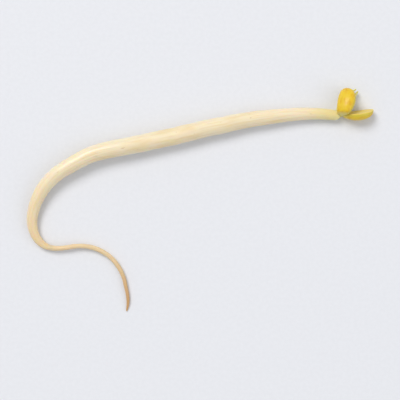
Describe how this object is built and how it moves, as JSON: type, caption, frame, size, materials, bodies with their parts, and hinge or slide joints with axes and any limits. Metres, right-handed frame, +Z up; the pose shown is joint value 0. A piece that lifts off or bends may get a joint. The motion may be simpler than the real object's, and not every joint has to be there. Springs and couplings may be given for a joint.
{
  "type": "mung bean sprout",
  "caption": "Fresh bean sprout lying down: long pale stem hooked at its lower end, thin curling root, and a yellow split bean gaping round small folded leaves.",
  "frame": {"origin": "middle of the sprout's footprint, on the surface it lies on", "axes": "+X from the bend of the stem to the head, +Y the side the upper seed half points to, +Z up from the surface"},
  "size_m": [0.0755, 0.0488, 0.005],
  "materials": {
    "stem_tissue": "moist, waxy, slightly translucent plant tissue",
    "root_tissue": "moist, finely ribbed plant tissue",
    "seed_tissue": "smooth, waxy bean flesh",
    "shoot_tissue": "moist, waxy plant tissue",
    "leaf_tissue": "soft, finely veined young leaf"
  },
  "bodies": {
    "root": {"hypocotyl": "stem_tissue", "root": "root_tissue", "cotyledon_upper": "seed_tissue", "cotyledon_lower": "seed_tissue", "epicotyl": "shoot_tissue", "first_leaf_left": "leaf_tissue", "first_leaf_right": "leaf_tissue"}
  },
  "joints": []
}
